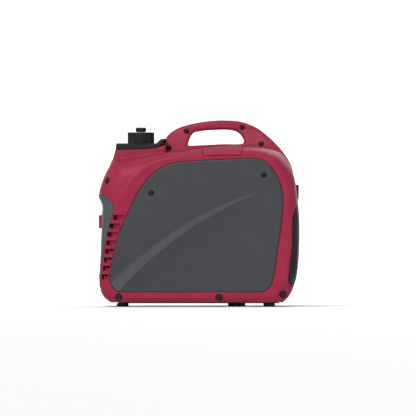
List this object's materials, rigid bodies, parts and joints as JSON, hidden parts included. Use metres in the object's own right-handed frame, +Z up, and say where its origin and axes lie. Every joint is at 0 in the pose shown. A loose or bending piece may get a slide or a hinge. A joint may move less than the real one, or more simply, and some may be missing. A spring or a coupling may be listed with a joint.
{
  "type": "portable generator",
  "caption": "Closed suitcase inverter generator with red shells, dark side covers, a carrying handle, filler cap, control panel and recoil starter.",
  "frame": {"origin": "on the floor, under the middle of the machine", "axes": "+X towards the exhaust end, -X towards the control panel, +Z up; -Y is the side with the removable maintenance cover"},
  "size_m": [0.4945, 0.29, 0.4574],
  "materials": {
    "red_plastic": "moulded red plastic, fine spark texture",
    "cover_plastic": "dark grey moulded plastic, fine grain",
    "panel_plastic": "mid grey moulded plastic",
    "black_plastic": "black moulded plastic",
    "switch_red": "satin red plastic",
    "socket_black": "smooth black plastic",
    "rubber_black": "soft black rubber",
    "steel": "plain steel",
    "cast_alloy": "sand-cast alloy",
    "brass": "turned brass",
    "winding": "varnished copper windings",
    "ceramic": "glazed white",
    "lamp_green": "clear green",
    "lamp_amber": "clear amber",
    "rope": "braided cord"
  },
  "bodies": {
    "root": {"near_shell": "red_plastic", "far_shell": "red_plastic", "far_side_cover": "cover_plastic", "base_tray": "black_plastic", "foot_front_near": "rubber_black", "foot_front_far": "rubber_black", "foot_rear_near": "rubber_black", "foot_rear_far": "rubber_black", "handle_grip": "red_plastic", "front_panel": "panel_plastic", "control_plate": "black_plastic", "mains_outlet_upper": "socket_black", "mains_outlet_lower": "socket_black", "dc_outlet": "socket_black", "parallel_socket_red": "switch_red", "parallel_socket_black": "socket_black", "ground_screw": "brass", "output_lamp": "lamp_green", "overload_lamp": "lamp_amber", "oil_lamp": "lamp_amber", "rear_cover": "black_plastic", "rear_grille": "black_plastic", "exhaust_outlet": "steel", "filler_tray": "black_plastic", "recoil_bezel": "black_plastic", "recoil_housing": "black_plastic", "recoil_spring": "steel", "stator": "winding", "fan_shroud": "black_plastic", "crankcase": "cast_alloy", "cylinder_block": "cast_alloy", "rocker_cover": "cast_alloy", "spark_plug": "ceramic", "plug_lead": "rubber_black", "ignition_coil": "socket_black", "carburettor": "cast_alloy", "air_filter_box": "black_plastic", "muffler": "steel", "fuel_tank": "black_plastic", "fuel_strainer": "ceramic", "fuel_hose": "rubber_black", "inverter_module": "cast_alloy", "engine_mount_front": "rubber_black", "engine_mount_rear": "rubber_black"},
    "side_cover": {"near_side_cover": "cover_plastic"},
    "plug_cover": {"spark_plug_cover": "red_plastic"},
    "cap_lift": {"cap_seal": "rubber_black"},
    "fuel_cap": {"fuel_cap": "black_plastic"},
    "vent": {"vent_knob": "black_plastic"},
    "engine_switch": {"engine_knob": "switch_red"},
    "economy_switch": {"economy_rocker": "socket_black"},
    "breaker": {"breaker_button": "socket_black"},
    "starter_grip": {"recoil_grip": "rubber_black", "starter_rope": "rope"},
    "starter_pulley": {"recoil_pulley": "ceramic"},
    "crank": {"crankshaft": "steel", "rotor": "steel", "cooling_fan": "black_plastic"},
    "dipstick": {"oil_dipstick": "black_plastic"}
  },
  "joints": [
    {"name": "side_cover_slide", "type": "slide", "parent": "root", "child": "side_cover", "axis": [0, -1, 0], "range_m": [0, 0.08]},
    {"name": "plug_cover_lift", "type": "slide", "parent": "root", "child": "plug_cover", "axis": [0, 0, 1], "range_m": [0, 0.03]},
    {"name": "cap_lift_slide", "type": "slide", "parent": "root", "child": "cap_lift", "axis": [0, 0, 1], "range_m": [0, 0.06]},
    {"name": "fuel_cap_turn", "type": "hinge", "parent": "cap_lift", "child": "fuel_cap", "pos_m": [-0.143, 0, 0.41], "axis": [0, 0, 1], "range_deg": [0, 90]},
    {"name": "vent_turn", "type": "hinge", "parent": "fuel_cap", "child": "vent", "pos_m": [-0.143, 0, 0.43], "axis": [0, 0, 1], "range_deg": [0, 90]},
    {"name": "engine_switch_turn", "type": "hinge", "parent": "root", "child": "engine_switch", "pos_m": [-0.238, -0.046, 0.2085], "axis": [1, 0, 0], "range_deg": [0, 120]},
    {"name": "economy_rock", "type": "hinge", "parent": "root", "child": "economy_switch", "pos_m": [-0.235, 0.03, 0.196], "axis": [0, 1, 0], "range_deg": [0, 12]},
    {"name": "breaker_press", "type": "slide", "parent": "root", "child": "breaker", "axis": [1, 0, 0], "range_m": [0, 0.003], "stiffness_N_per_m": 250, "springref_m": -0.001},
    {"name": "starter_pulley_spin", "type": "hinge", "parent": "root", "child": "starter_pulley", "pos_m": [-0.142, 0, 0.13], "axis": [-1, 0, 0], "range_deg": [0, 716], "stiffness_Nm_per_rad": 0.09, "springref_deg": -229.18},
    {"name": "starter_pull", "type": "slide", "parent": "root", "child": "starter_grip", "axis": [0, 1, 0], "range_m": [0, 0.6], "deforming": ["starter_rope"]},
    {"name": "crank_spin", "type": "hinge", "parent": "root", "child": "crank", "pos_m": [0.012, 0, 0.13], "axis": [1, 0, 0], "continuous": true},
    {"name": "dipstick_turn", "type": "hinge", "parent": "root", "child": "dipstick", "pos_m": [0.032, -0.059, 0.092], "axis": [0, -1, 0], "range_deg": [0, 360]}
  ],
  "couplings": [
    {"joint": "starter_pull", "follows": "starter_pulley_spin", "m_per_rad": 0.048}
  ]
}
